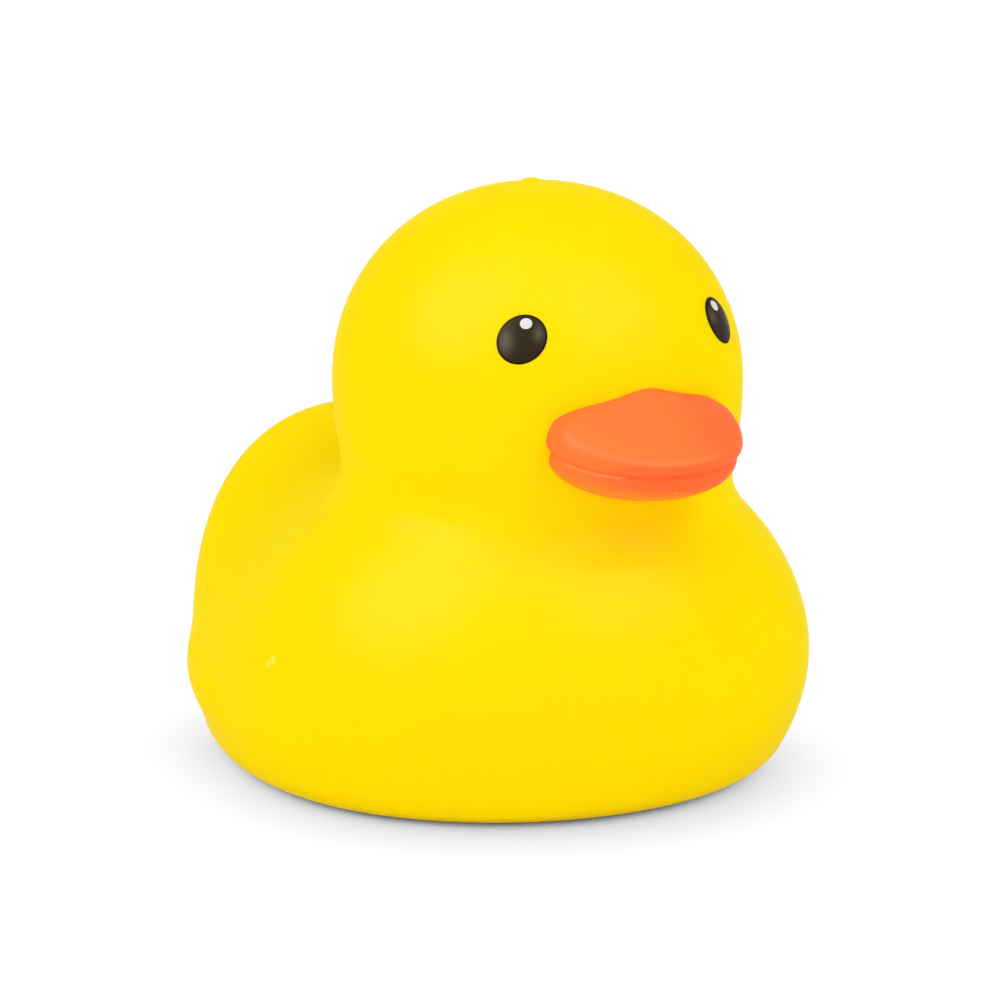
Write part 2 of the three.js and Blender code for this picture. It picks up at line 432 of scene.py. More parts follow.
@dataclass(frozen=True)
class Finish:
    """A surface finish: two close colours in soft patches, gloss, and light let into the skin.

    Colours are written from 0 to 255. Scales count waves to the metre. The grain's height and the
    depth that light reaches are in mm. The coat thins towards the edge by its falloff.
    """

    name: str
    colour: Triple
    patch_colour: Triple
    roughness: float
    roughness_spread: float
    gloss: float
    patch_scale: float
    grain_scale: float
    grain_height: float
    depth_weight: float = 0.0
    depth_radius: Triple = (1.0, 0.2, 0.1)
    depth_mm: float = 1.0
    coat: float = 0.0
    coat_roughness: float = 0.4
    coat_falloff: float = 2.0
    speck_colour: Triple = (255, 224, 84)
    specks: tuple[PaleSpeck, ...] = ()
    zones: tuple[Zone, ...] = ()

    def paint(
        self, wiring: Wiring, patch: bpy.types.NodeSocket, speck: bpy.types.NodeTree
    ) -> bpy.types.NodeSocket:
        """Lays the finish's colours over each other: patches, then zones, then pale specks.

        Args:
            wiring: the material's node tree.
            patch: mask of the soft patches.
            speck: the group that gives a speck's mask.

        Returns:
            The colour.
        """
        colour = wiring.mix(patch, linear(*self.colour), linear(*self.patch_colour))
        for zone in self.zones:
            mask = wiring.add("ShaderNodeAttribute", attribute_name=zone.mask)
            colour = wiring.mix(mask.outputs["Fac"], colour, linear(*zone.colour))
        for mark in self.specks:
            spot = wiring.add("ShaderNodeGroup", node_tree=speck)
            spot.inputs["Centre"].default_value = Vector(mark.place) * METRE_PER_MM
            spot.inputs["Radius"].default_value = mark.radius * METRE_PER_MM
            colour = wiring.mix(spot.outputs["Mask"], colour, linear(*self.speck_colour))
        return colour

    def material(self, uneven: bpy.types.NodeTree, speck: bpy.types.NodeTree) -> bpy.types.Material:
        """Builds the finish as a material.

        Args:
            uneven: the group that gives patches and grain.
            speck: the group that gives a speck's mask.

        Returns:
            The new material.
        """
        material = bpy.data.materials.new(self.name)
        material.use_nodes = True
        wiring = Wiring(material.node_tree)
        shader = material.node_tree.nodes["Principled BSDF"]
        shader.inputs["Specular IOR Level"].default_value = self.gloss
        shader.inputs["Subsurface Weight"].default_value = self.depth_weight
        shader.inputs["Subsurface Radius"].default_value = self.depth_radius
        shader.inputs["Subsurface Scale"].default_value = self.depth_mm * METRE_PER_MM
        skin = wiring.add("ShaderNodeGroup", node_tree=uneven)
        skin.inputs["Patch Scale"].default_value = self.patch_scale
        skin.inputs["Grain Scale"].default_value = self.grain_scale
        colour = self.paint(wiring, skin.outputs["Patch"], speck)
        wiring.link(colour, shader.inputs["Base Color"])
        smoothest = self.roughness - self.roughness_spread
        sheen = wiring.math(
            "MULTIPLY_ADD", skin.outputs["Patch"], 2.0 * self.roughness_spread, smoothest)
        wiring.link(sheen, shader.inputs["Roughness"])
        if self.coat > 0.0:
            edge = wiring.add("ShaderNodeLayerWeight")
            facing = wiring.math("SUBTRACT", 1.0, edge.outputs["Facing"])
            inner = wiring.math("POWER", facing, self.coat_falloff)
            wiring.link(wiring.math("MULTIPLY", inner, self.coat), shader.inputs["Coat Weight"])
            shader.inputs["Coat Roughness"].default_value = self.coat_roughness
        bump = wiring.add("ShaderNodeBump")
        bump.inputs["Distance"].default_value = self.grain_height * METRE_PER_MM
        wiring.link(skin.outputs["Grain"], bump.inputs["Height"])
        wiring.link(bump.outputs["Normal"], shader.inputs["Normal"])
        return material


YELLOW_RUBBER = Finish(
    name="yellow_rubber",
    colour=(255, 220, 0),
    patch_colour=(255, 217, 0),
    roughness=0.34,
    roughness_spread=0.04,
    gloss=0.002,
    patch_scale=45.0,
    grain_scale=900.0,
    grain_height=0.008,
    depth_weight=0.4,
    depth_radius=(1.0, 0.3, 0.1),
    depth_mm=3.0,
    coat=0.06,
    coat_roughness=0.33,
    specks=(
        PaleSpeck((-38.5, -1.9, 20.0), 0.6),
        PaleSpeck((-38.6, -0.9, 19.2), 0.5),
        PaleSpeck((19.6, -31.95, 11.9), 0.35),
    ),
)

ORANGE_PAINT = Finish(
    name="orange_paint",
    colour=(255, 124, 57),
    patch_colour=(255, 119, 54),
    roughness=0.38,
    roughness_spread=0.05,
    gloss=0.025,
    patch_scale=140.0,
    grain_scale=1200.0,
    grain_height=0.012,
    speck_colour=(255, 160, 90),
    specks=(PaleSpeck((-1.15, -39.65, 44.8), 0.25),),
    zones=(
        # Painted shade: the walls of the lips, which face away from the upper lamps, are painted
        # redder.
        Zone("lip", (255, 107, 52)),
        # Painted shade: the far cheek, on the duck's left, is painted redder.
        Zone("far_cheek_shade", (255, 112, 57)),
        # Painted bounce light: the underside of the chin is painted paler and yellower, as if lit
        # from the breast.
        Zone("chin", (255, 144, 47)),
        # Painted highlights along the crease at the rim and in a streak under the groove.
        Zone("painted_highlight", (255, 146, 84)),
    ),
)

DARK_PAINT = Finish(
    name="dark_paint",
    colour=(44, 35, 24),
    patch_colour=(52, 42, 29),
    roughness=0.4,
    roughness_spread=0.05,
    gloss=0.03,
    patch_scale=500.0,
    grain_scale=3000.0,
    grain_height=0.01,
    # The first zone is painted sheen, the lamps' reflections painted pale on the dark dome; the
    # rim is the eye's darker edge line.
    zones=(Zone("painted_sheen", (98, 87, 73)), Zone("rim", (34, 12, 3))),
)

WHITE_PAINT = Finish(
    name="white_paint",
    colour=(227, 222, 219),
    patch_colour=(216, 212, 209),
    roughness=0.4,
    roughness_spread=0.05,
    gloss=0.06,
    patch_scale=900.0,
    grain_scale=3000.0,
    grain_height=0.01,
)


@dataclass(frozen=True)
class Oval:
    """A rounded form with its own half size on each side of its centre, pitched tail up."""

    centre: Triple
    low: Triple
    high: Triple
    pitch: float = 0.0
    fullness: float = 2.0

    def distance(self, points: np.ndarray) -> np.ndarray:
        """Distance of points outside the oval, below zero inside.

        Formula: with q the place in the oval's own frame and h its half sizes, the level is
        L = (sum of (|q| / h) ^ fullness) ^ (1 / fullness), and the distance (L - 1) / |grad L|.

        Args:
            points: array whose last axis holds X, Y and Z in mm.

        Returns:
            One distance for each point, in mm.
        """
        local = turned(points - np.array(self.centre), -self.pitch, Axis.X)
        half = np.where(local < 0.0, np.array(self.low), np.array(self.high))
        share = np.maximum(np.abs(local) / half, LEAST)
        level = (share ** self.fullness).sum(axis=-1) ** (1.0 / self.fullness)
        slope = ((share ** (self.fullness - 1.0) / half) ** 2).sum(axis=-1)
        return (level - 1.0) * level ** (self.fullness - 1.0) / np.sqrt(slope)


@dataclass(frozen=True)
class Head:
    """The round head on its short neck, with the mould's cut-off vent on its crown."""

    half_width: float = 26.75
    half_depth: float = 27.0
    centre_height: float = 53.9
    to_crown: float = 26.1
    to_neck: float = 33.9
    forward: float = 4.4
    fullness: float = 2.07
    nub_radius: float = 2.7
    nub_rise: float = 0.38
    nub_back: float = 1.5

    @property
    def centre(self) -> np.ndarray:
        """Middle of the head."""
        return np.array([0.0, -self.forward, self.centre_height])

    @property
    def crown(self) -> np.ndarray:
        """Tip of the nub on top of the head."""
        top = self.centre_height + self.to_crown + self.nub_rise
        return np.array([0.0, self.nub_back - self.forward, top])

    def oval(self) -> Oval:
        """The head's own form.

        Returns:
            The oval that the neck and the nub are joined to.
        """
        return Oval(
            centre=tuple(self.centre),
            low=(self.half_width, self.half_depth, self.to_neck),
            high=(self.half_width, self.half_depth, self.to_crown),
            fullness=self.fullness,
        )

    def nub(self) -> Oval:
        """The vent's own form, a small ball sunk in the crown."""
        radius = (self.nub_radius,) * len(Axis)
        return Oval(tuple(self.crown - np.array([0.0, 0.0, self.nub_radius])), radius, radius)

    def front_at(self, below: float) -> float:
        """How far the head's front is ahead of its middle.

        Formula: depth * (1 - (below / to_neck) ^ fullness) ^ (1 / fullness).

        Args:
            below: distance below the head's middle, in mm.

        Returns:
            Distance ahead of the middle, in mm.
        """
        share = 1.0 - (below / self.to_neck) ** self.fullness
        return self.half_depth * share ** (1.0 / self.fullness)

    def skin_towards(self, direction: np.ndarray) -> float:
        """Distance from the head's middle to its skin.

        Formula: 1 / (sum of (|d| / h) ^ fullness) ^ (1 / fullness) for a unit direction d.

        Args:
            direction: unit direction from the middle of the head, pointing upwards.

        Returns:
            The distance in mm.
        """
        half = np.array([self.half_width, self.half_depth, self.to_crown])
        return float(((np.abs(direction) / half) ** self.fullness).sum() ** (-1.0 / self.fullness))


@dataclass(frozen=True)
class Body:
    """The egg-shaped body with its tail, the saddle before it and a low wing on each flank."""

    half_width: float = 39.2
    to_breast: float = 39.3
    to_rump: float = 47.3
    axis_height: float = 13.2
    to_back: float = 33.6
    to_keel: float = 29.2
    pitch: float = -21.5
    base_edge_blend: float = 4.0
    tail_half: Triple = (26.3, 27.5, 12.5)
    tail_back: float = 35.2
    tail_height: float = 19.3
    tail_pitch: float = 53.9
    tail_blend: float = 22.0
    saddle_half_width: float = 36.0
    saddle_radius: float = 14.0
    saddle_back: float = 27.2
    saddle_floor: float = 40.5
    saddle_blend: float = 7.0
    wing_half_length: float = 17.0
    wing_half_height: float = 6.6
    wing_rise: float = 1.25
    wing_back: float = 28.0
    wing_height: float = 10.6
    wing_pitch: float = 8.6

    def egg(self) -> Oval:
        """The body's own form.

        Returns:
            The oval that the tail is joined to.
        """
        return Oval(
            centre=(0.0, 0.0, self.axis_height),
            low=(self.half_width, self.to_breast, self.to_keel),
            high=(self.half_width, self.to_rump, self.to_back),
            pitch=self.pitch,
        )

    def tail(self) -> Oval:
        """The broad rounded tail."""
        centre = (0.0, self.tail_back, self.tail_height)
        return Oval(centre, self.tail_half, self.tail_half, pitch=self.tail_pitch)

    def saddle(self) -> Oval:
        """The hollow across the back between the neck and the tail."""
        half = (self.saddle_half_width, self.saddle_radius, self.saddle_radius)
        return Oval((0.0, self.saddle_back, self.saddle_floor + self.saddle_radius), half, half)

    def wing_swell(self, points: np.ndarray) -> np.ndarray:
        """How far the wings raise the flanks.

        Formula: rise * max(1 - (along / length) ^ 2 - (up / height) ^ 2, 0) ^ 2 in side view,
        with along and up measured from the wing's middle in its own pitched frame.

        Args:
            points: array whose last axis holds X, Y and Z in mm.

        Returns:
            One height for each point, in mm.
        """
        middle = np.array([0.0, self.wing_back, self.wing_height])
        local = turned(points - middle, -self.wing_pitch, Axis.X)
        along, up = local[..., 1] / self.wing_half_length, local[..., 2] / self.wing_half_height
        return self.wing_rise * np.maximum(1.0 - along ** 2 - up ** 2, 0.0) ** 2

    def distance(self, points: np.ndarray) -> np.ndarray:
        """Distance of points outside the body.

        Formula: egg and tail joined softly, the saddle hollowed out, the wings raised.

        Args:
            points: array whose last axis holds X, Y and Z in mm.

        Returns:
            One distance for each point, in mm.
        """
        egg, tail = self.egg().distance(points), self.tail().distance(points)
        trunk = soft_least(egg, tail, self.tail_blend)
        trunk = soft_greatest(trunk, -self.saddle().distance(points), self.saddle_blend)
        return trunk - self.wing_swell(points)


@dataclass(frozen=True)
class Skin:
    """The one soft moulding: body and head run together and cut flat at the base."""

    body: Body
    head: Head
    neck_blend: float = 4.9
    nub_blend: float = 0.25
    heart: Triple = (0.0, 7.0, 17.0)
    rings: int = 300
    around: int = 320
    trial_rings: int = 700
    crown_weight: float = 5.0
    crown_degrees: float = 4.0
    ray_length: float = 2.0
    halvings: int = 34

    def distance(self, points: np.ndarray) -> np.ndarray:
        """Distance of points outside the skin.

        Formula: body, head and nub joined softly, then kept above the base with a rounded edge.

        Args:
            points: array whose last axis holds X, Y and Z in mm.

        Returns:
            One distance for each point, in mm.
        """
        body, head = self.body.distance(points), self.head.oval().distance(points)
        whole = soft_least(body, head, self.neck_blend)
        whole = soft_least(whole, self.head.nub().distance(points), self.nub_blend)
        return soft_greatest(whole, -points[..., 2], self.body.base_edge_blend)

    def along(self, polar: np.ndarray, azimuth: np.ndarray) -> np.ndarray:
        """The skin's points along rays from the heart.

        Formula: direction = sin(polar) * (cos(azimuth) * e1 + sin(azimuth) * e2)
        + cos(polar) * e3, with e3 pointing at the crown; the distance along it is found by
        halving an interval that starts out ray_length times the crown's height long.

        Args:
            polar: angles from the direction of the crown, in radians.
            azimuth: angles about that direction, in radians, of the same shape.

        Returns:
            Points on the skin, in mm, with a last axis for X, Y and Z.
        """
        heart = np.array(self.heart)
        third = (self.head.crown - heart) / np.linalg.norm(self.head.crown - heart)
        first = np.array([1.0, 0.0, 0.0])
        second = np.cross(third, first)
        flat = np.cos(azimuth)[..., None] * first + np.sin(azimuth)[..., None] * second
        direction = np.sin(polar)[..., None] * flat + np.cos(polar)[..., None] * third
        inside = np.zeros(polar.shape)
        outside = np.full(polar.shape, self.ray_length * self.head.crown[Axis.Z])
        for _ in range(self.halvings):
            middle = (inside + outside) / 2.0
            within = self.distance(heart + direction * middle[..., None]) < 0.0
            inside = np.where(within, middle, inside)
            outside = np.where(within, outside, middle)
        return heart + direction * outside[..., None]

    def grid(self) -> np.ndarray:
        """The skin as rings from the crown to the base, evenly spaced along each meridian.

        Formula: a trial set of rings gives each meridian's length, weighted at the crown; the
        polar angles of the final rings split that length evenly.

        Returns:
            Array of ring, point in the ring and coordinate, in mm.
        """
        turn = full_turn(self.around)
        trial = np.linspace(0.0, np.pi, self.trial_rings)
        polar, azimuth = np.meshgrid(trial, turn, indexing="ij")
        rough = self.along(polar, azimuth)
        steps = np.linalg.norm(np.diff(rough, axis=0), axis=-1)
        between = np.degrees((trial[:-1] + trial[1:]) / 2.0)[:, None]
        steps = steps * (1.0 + self.crown_weight * np.exp(-(between / self.crown_degrees) ** 2))
        length = np.concatenate([np.zeros((1, self.around)), np.cumsum(steps, axis=0)])
        share = length / length[-1]
        # Each meridian has a lane of its own on one line, so that one interpolation serves all.
        lane = 2.0 * np.arange(self.around)
        wanted = np.linspace(0.0, 1.0, self.rings)
        even = np.interp(
            (wanted[None, :] + lane[:, None]).ravel(),
            (share.T + lane[:, None]).ravel(),
            np.tile(trial, self.around),
        ).reshape(self.around, self.rings).T
        return self.along(even, np.broadcast_to(turn, even.shape))

    def build(self) -> bpy.types.Object:
        """Makes the skin and lets it stand for the solid duck.

        Returns:
            The skin, without its finish.
        """
        piece = closed_grid("duck_skin", self.grid())
        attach(piece, "root")
        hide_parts("duck")
        return piece

    def dress(self, piece: bpy.types.Object, material: bpy.types.Material) -> None:
        """Gives the skin its rubber."""
        piece.data.materials.append(material)


@dataclass(frozen=True)
class BillPaint:
    """Where the bill has painted shade, painted bounce light and painted highlights.

    Up and down go by the level on the bill's edge, from 1 on top to -1 below. Across goes from
    -1 on the duck's right to 1 on its left.
    """

    front: Fade = Fade(0.0, 0.2)
    # The lips' painted shade.
    lip_down: Fade = Fade(0.98, 0.8)
    lip_across: Fade = Fade(-1.0, -0.3)
    # The far cheek's painted shade.
    cheek_up: Fade = Fade(0.0, 1.0)
    cheek_across: Fade = Fade(0.0, 0.5)
    # The chin's painted bounce light.
    chin_down: Fade = Fade(-0.3, -0.7)
    chin_slant: float = 0.15
    # The crease's painted highlight.
    crease_width: float = 0.06
    crease_up: Fade = Fade(0.75, 1.0)
    crease_across: Fade = Fade(0.7, 0.1)
    crease_highlight: float = 0.35
    # The streak's painted highlight, under the groove.
    streak_top: Fade = Fade(-0.02, -0.035)
    streak_foot: Fade = Fade(-0.1, -0.07)
    streak_inner: Fade = Fade(-0.55, -0.65)
    streak_outer: Fade = Fade(-0.98, -0.92)
    streak_highlight: float = 0.7


@dataclass(frozen=True)
class Bill:
    """The painted bill: a wide scoop on the front of the head, parted by a groove all round."""

    head: Head
    paint: BillPaint = BillPaint()
    half_width: float = 13.3
    reach: float = 10.6
    root: float = 14.0
    sink: float = 0.7
    below_head_centre: float = 5.0
    droop: float = 11.0
    side_lip: float = 3.2
    front_lip: float = 1.75
    chin: float = 5.4
    rim_inset: float = 0.35
    chin_inset: float = 0.3
    groove_depth: float = 0.6
    lip_swell: float = 0.3
    lip_shoulder: float = 0.65
    lip_under: float = 0.2
    chin_turn: float = 0.25
    cheek_rise: float = 3.7
    cheek_arch: float = 1.14
    cheek_bow: float = 1.5
    ridge_rise: float = 0.9
    ridge_half_width: float = 4.0
    ridge_fall: float = 1.4
    around: int = 192
    over: int = 36
    lip_steps: int = 24
    chin_steps: int = 48

    @property
    def rim(self) -> float:
        """Share of the reach at which the top meets the upper lip."""
        return 1.0 - self.rim_inset / self.reach

    def profile(self) -> tuple[np.ndarray, np.ndarray, np.ndarray]:
        """The bill's edge from the middle of its top, over the lips, to the middle of its chin.

        Formula: a straight top, a cubic curve down the upper lip into the groove and another
        round the lower lip and under the chin.

        Returns:
            Shares of the reach, levels from 1 on top to -1 below, and 1 where it is the top.
        """
        groove = 1.0 - self.groove_depth / self.reach
        lower = 1.0 - self.chin_inset / self.reach
        swollen = 1.0 + self.lip_swell / self.reach
        top = np.linspace(0.0, self.rim, self.over, endpoint=False)
        t = np.linspace(0.0, 1.0, self.lip_steps)
        upper_share = cubic(t, self.rim, 1.0, swollen, groove)
        upper_level = cubic(t, 1.0, self.lip_shoulder, self.lip_under, 0.0)
        t = np.linspace(0.0, 1.0, self.chin_steps)[1:]
        lower_share = cubic(t, groove, 2.0 * lower - groove, lower, 0.0)
        lower_level = cubic(t, 0.0, -self.chin_turn, -1.0, -1.0)
        share = np.concatenate([top, upper_share, lower_share])
        level = np.concatenate([np.ones(self.over), upper_level, lower_level])
        is_top = np.concatenate([np.ones(self.over), np.zeros(len(share) - self.over)])
        return share, level, is_top

    def swell(self, across: np.ndarray, ahead: np.ndarray) -> np.ndarray:
        """Height of the bill's top over its rim: a broad swelling and a soft ridge along it.

        Formula: cheek * chord ^ arch * (1 - along ^ bow)
        + ridge * exp(-(x / width) ^ 2) * chord * (1 - along) ^ fall,
        with chord the share left to the side and along the share of the way ahead to the rim.

        Args:
            across: shares of the way across to the rim.
            ahead: shares of the way ahead to the rim, below zero towards the root.

        Returns:
            One height for each place, in mm.
        """
        widest = np.sqrt(np.maximum(1.0 - np.minimum(ahead, 0.0) ** 2, LEAST))
        chord = np.sqrt(np.maximum(1.0 - (across / widest) ** 2, 0.0))
        along = np.clip(ahead / np.maximum(chord, LEAST), 0.0, 1.0)
        cheek = self.cheek_rise * chord ** self.cheek_arch * (1.0 - along ** self.cheek_bow)
        ridge = self.ridge_rise * np.exp(-(across * self.half_width / self.ridge_half_width) ** 2)
        return cheek + ridge * chord * (1.0 - along) ** self.ridge_fall

    def grid(self) -> np.ndarray:
        """The bill as rings from the middle of its top to the middle of its chin.

        Formula: the profile turned about the bill's own upright axis, then drawn out: across by
        the half width, ahead by the reach and back by the root, the top standing on the lip.

        Returns:
            Array of ring, point in the ring and coordinate, in mm.
        """
        share, level, is_top = (values[:, None] for values in self.profile())
        turn = full_turn(self.around)
        across = share * np.cos(turn)
        ahead = -share * np.sin(turn)
        lip = self.side_lip + (self.front_lip - self.side_lip) * np.maximum(ahead, 0.0)
        upper = level * lip + is_top * self.swell(across / self.rim, ahead / self.rim)
        height = np.where(level < 0.0, level * self.chin, upper)
        depth = np.where(ahead > 0.0, self.reach, self.root)
        points = np.stack([across * self.half_width, -ahead * depth, height], axis=-1)
        place = np.array([
            0.0,
            self.sink - self.head.forward - self.head.front_at(self.below_head_centre),
            self.head.centre_height - self.below_head_centre,
        ])
        return turned(points, self.droop, Axis.X) + place

    def masks(self) -> dict[str, np.ndarray]:
        """Painted shade on the lips and one cheek, painted bounce light below, painted highlights.

        Formula: soft steps along the profile's level and across the bill; the painted highlights
        lie on the crease along the rim and in a thin streak under the groove.

        Returns:
            Masks from 0 to 1, by name, as arrays of ring and point in the ring.
        """
        share, level, is_top = (values[:, None] for values in self.profile())
        turn = full_turn(self.around)
        across = share * np.cos(turn)
        paint = self.paint
        front = paint.front.at(-share * np.sin(turn))
        # Painted shade on the lips and the far cheek, and painted bounce light under the chin.
        lip = paint.lip_down.at(level) * (1.0 - is_top) * paint.lip_across.at(across)
        cheek = paint.cheek_across.at(across) * paint.cheek_up.at(level)
        chin = paint.chin_down.at(level + paint.chin_slant * across)
        crease_top = Fade(self.rim - paint.crease_width, self.rim).at(share)
        crease = np.where(is_top > 0.0, crease_top, paint.crease_up.at(level))
        crease = crease * paint.crease_across.at(across)
        streak = paint.streak_top.at(level) * paint.streak_foot.at(level)
        streak = streak * paint.streak_inner.at(across) * paint.streak_outer.at(across)
        # Painted highlights, on the front of the bill only.
        painted_highlight = front * (paint.crease_highlight * crease + paint.streak_highlight * streak)
        return {"lip": lip, "far_cheek_shade": cheek, "chin": chin, "painted_highlight": painted_highlight}

    def build(self) -> bpy.types.Object:
        """Makes the bill.

        Returns:
            The bill, without its finish.
        """
        piece = closed_grid("bill", self.grid(), self.masks())
        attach(piece, "root")
        return piece

    def dress(self, piece: bpy.types.Object, material: bpy.types.Material) -> None:
        """Paints the bill."""
        piece.data.materials.append(material)


@dataclass(frozen=True)
class PaintedSheen:
    """An eye's painted sheen: its place and spread outwards and upwards in mm, and its strength.
    """

    outwards: float
    upwards: float
    spread_out: float
    spread_up: float
    strength: float = 1.0

    def at(self, outer: np.ndarray, up: np.ndarray) -> np.ndarray:
        """How strong the painted sheen is at places on the eye.

        Formula: strength * exp(-(x / a) ^ 2 - (y / b) ^ 2), with x and y measured from the
        sheen's place and a and b its spreads.

        Args:
            outer: places outwards from the eye's middle, in mm.
            up: places upwards from the eye's middle, in mm.

        Returns:
            One strength for each place.
        """
        x, y = (outer - self.outwards) / self.spread_out, (up - self.upwards) / self.spread_up
        return self.strength * np.exp(-x ** 2 - y ** 2)


@dataclass(frozen=True)
class Eye:
    """A painted eye: a low oval dome whose top leans to the middle, with a white dot on it."""

    head: Head
    side: Side
    half_length: float = 2.92
    half_width: float = 2.65
    rise: float = 0.4
    sink: float = 0.6
    side_angle: float = 35.6
    up_angle: float = 20.3
    lean: float = 45.0
    dot_half_length: float = 0.72
    dot_half_width: float = 0.78
    dot_up: float = 2.0
    dot_inwards: float = 0.5
    dot_thickness: float = 0.05
    rim: Fade = Fade(0.82, 0.88)
    # Painted sheens: the lamps' reflections painted as pale spots, one outer and one inner.
    painted_sheens: tuple[PaintedSheen, ...] = (
        PaintedSheen(2.0, -0.3, 0.9, 1.5),
        PaintedSheen(-2.1, 0.7, 0.6, 0.9, strength=0.7),
    )
    rings: int = 64
    dot_rings: int = 32
    around: int = 96

    @property
    def outward(self) -> np.ndarray:
        """The way the eye faces.

        Returns:
            A unit direction.
        """
        sideways, up = np.radians(self.side_angle), np.radians(self.up_angle)
        return np.array([
            self.side * np.sin(sideways) * np.cos(up),
            -np.cos(sideways) * np.cos(up),
            np.sin(up),
        ])

    def placed(self, points: np.ndarray) -> np.ndarray:
        """Moves points from the eye's own frame to the head.

        Formula: the eye's X runs level, its Y up the head and its Z outwards.

        Args:
            points: array whose last axis holds the eye's own X, Y and Z in mm.

        Returns:
            The points in the duck's frame.
        """
        outward = self.outward
        level = np.cross([0.0, 0.0, 1.0], outward)
        level = level / np.linalg.norm(level)
        axes = np.stack([level, np.cross(outward, level), outward])
        middle = self.head.centre + outward * (self.head.skin_towards(outward) - self.sink)
        return points @ axes + middle

    @property
    def half_sizes(self) -> np.ndarray:
        """Half sizes of the whole oval that shows half_width by half_length above the skin.

        Returns:
            Half sizes across, along and outwards, in mm.
        """
        height = self.rise + self.sink
        spread = 1.0 / np.sqrt(1.0 - (self.sink / height) ** 2)
        return np.array([self.half_width * spread, self.half_length * spread, height])

    def ball(self) -> np.ndarray:
        """A ball of unit radius as rings from its front to its back.

        Formula: (sin p cos a, sin p sin a, cos p).

        Returns:
            Array of ring, point in the ring and coordinate.
        """
        polar = np.linspace(0.0, np.pi, self.rings)[:, None]
        turn = full_turn(self.around)
        return np.stack([
            np.sin(polar) * np.cos(turn),
            np.sin(polar) * np.sin(turn),
            np.cos(polar) * np.ones(self.around),
        ], axis=-1)

    def oval(self) -> np.ndarray:
        """The eye's oval in its own frame: the unit ball times the half sizes, leaned."""
        return turned(self.ball() * self.half_sizes, self.side * self.lean, Axis.Z)

    def masks(self) -> dict[str, np.ndarray]:
        """Where the eye is edged with a darker line and where a painted sheen lies on it.

        Formula: the rim is a soft step over the share of the way from the dome's middle to its
        widest ring; the painted sheen is the sum of the eye's sheen spots.

        Returns:
            Masks from 0 to 1, by name, as arrays of ring and point in the ring.
        """
        ball, oval = self.ball(), self.oval()
        outer, up = self.side * oval[..., Axis.X], oval[..., Axis.Y]
        painted_sheen = sum(sheen_spot.at(outer, up) for sheen_spot in self.painted_sheens)
        across = np.hypot(ball[..., Axis.X], ball[..., Axis.Y])
        return {"painted_sheen": painted_sheen, "rim": self.rim.at(across)}

    def dot_grid(self) -> np.ndarray:
        """The white dot as a thin lens that lies on the dome.

        Formula: discs of shares sin p of the dot's half sizes, at the height of the dome there
        plus cos p times the thickness.

        Returns:
            Array of ring, point in the ring and coordinate, in mm.
        """
        polar = np.linspace(0.0, np.pi, self.dot_rings)[:, None]
        turn = full_turn(self.around)
        x = self.dot_half_width * np.sin(polar) * np.cos(turn) - self.side * self.dot_inwards
        y = self.dot_half_length * np.sin(polar) * np.sin(turn) + self.dot_up
        flat = np.stack([x, y, np.zeros_like(x)], axis=-1)
        share = turned(flat, -self.side * self.lean, Axis.Z) / self.half_sizes
        dome = self.half_sizes[Axis.Z] * np.sqrt(1.0 - (share ** 2).sum(axis=-1))
        flat[..., Axis.Z] = dome + self.dot_thickness * np.cos(polar)
        return self.placed(flat)

    def build(self) -> tuple[bpy.types.Object, bpy.types.Object]:
        """Makes the eye and its dot.

        Returns:
            The dome and the dot, without their finishes.
        """
        name = self.side.name.lower()
        dome = closed_grid(f"eye_{name}", self.placed(self.oval()), self.masks())
        pieces = dome, closed_grid(f"eye_dot_{name}", self.dot_grid())
        for piece in pieces:
            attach(piece, "root")
        return pieces

    def dress(
        self,
        pieces: tuple[bpy.types.Object, bpy.types.Object],
        dark: bpy.types.Material,
        white: bpy.types.Material,
    ) -> None:
        """Paints the eye dark and its dot white.

        Args:
            pieces: the dome and the dot.
            dark: finish of the dome.
            white: finish of the dot.
        """
        for piece, material in zip(pieces, (dark, white)):
            piece.data.materials.append(material)


@dataclass(frozen=True)
class Lamp:
    """A square soft lamp: its direction from the duck as right, up and towards the camera.

    Its distance is in mm, its size in metres and its power in watts. A lamp that isn't mirrored
    lights matt surfaces and gives no highlight. A lamp that doesn't fill is a broad card that
    shows only as a highlight in gloss.
    """

    name: str
    direction: Triple
    distance: float
    size: float
    power: float
    fills: bool = True
    mirrored: bool = True


